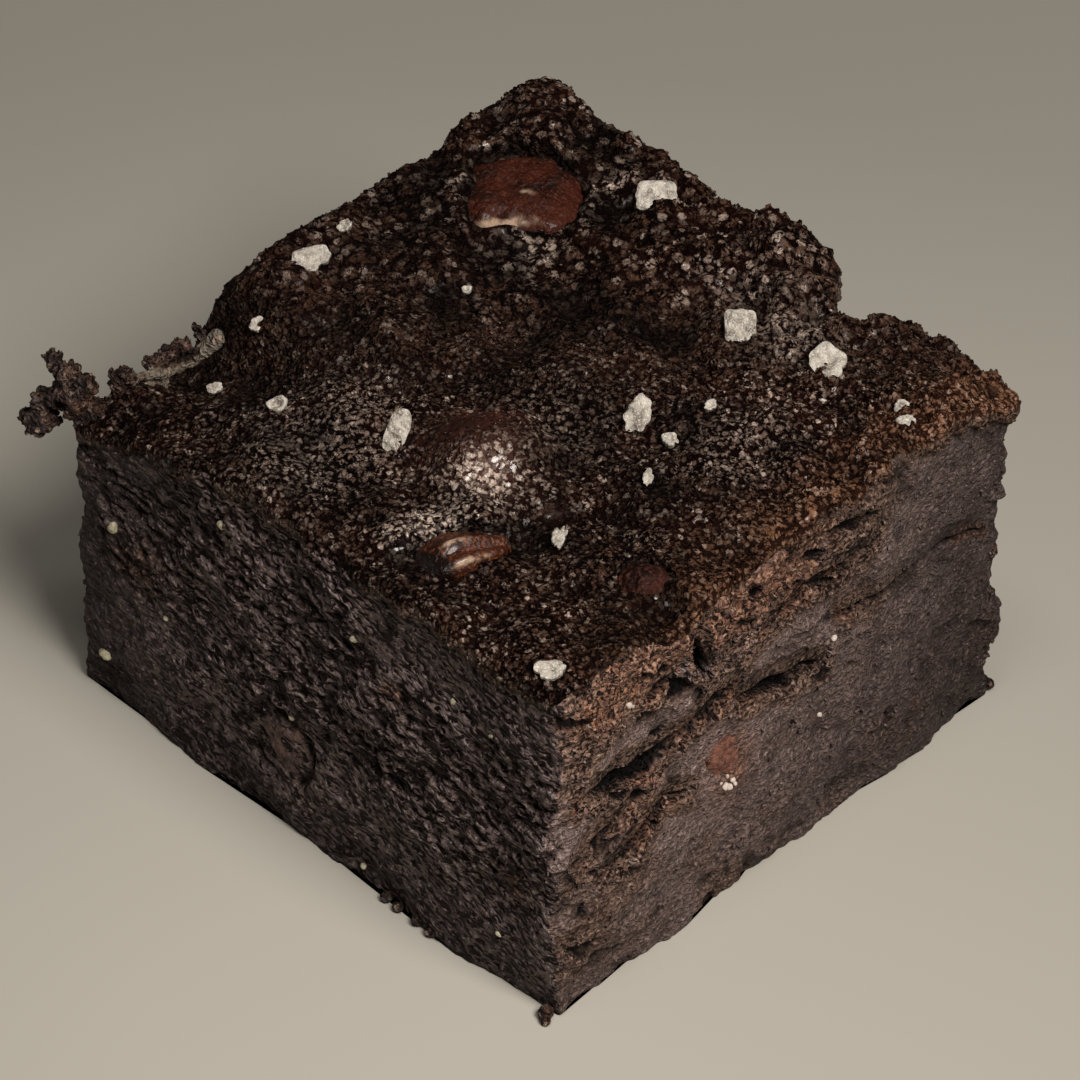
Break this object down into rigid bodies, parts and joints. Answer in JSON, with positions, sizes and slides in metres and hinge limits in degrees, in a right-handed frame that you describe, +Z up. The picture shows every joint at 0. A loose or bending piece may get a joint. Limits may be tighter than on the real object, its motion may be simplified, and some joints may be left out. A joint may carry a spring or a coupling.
{
  "type": "chocolate brownie",
  "caption": "Thick square-cut fudgy chocolate brownie with chocolate chips in its crust and cut faces, sea salt on top and one slumped corner.",
  "frame": {"origin": "middle of the bounding box of the whole brownie, on the surface it stands on", "axes": "+Z up through the thickness; +X is the cut face with the torn cracks; -Y is the cut face with the dragged crumb; the slumped corner is at -X, -Y"},
  "size_m": [0.0682, 0.063, 0.0416],
  "materials": {
    "crumb": "crumbly baked crumb under a thin damp crust",
    "chocolate": "softened chocolate, glossy"
  },
  "bodies": {
    "root": {"brownie": "crumb", "chip_front": "chocolate", "chunk_back": "chocolate", "chip_crust": "chocolate", "chip_cut_front": "chocolate", "chip_cut_right": "chocolate"}
  },
  "joints": []
}
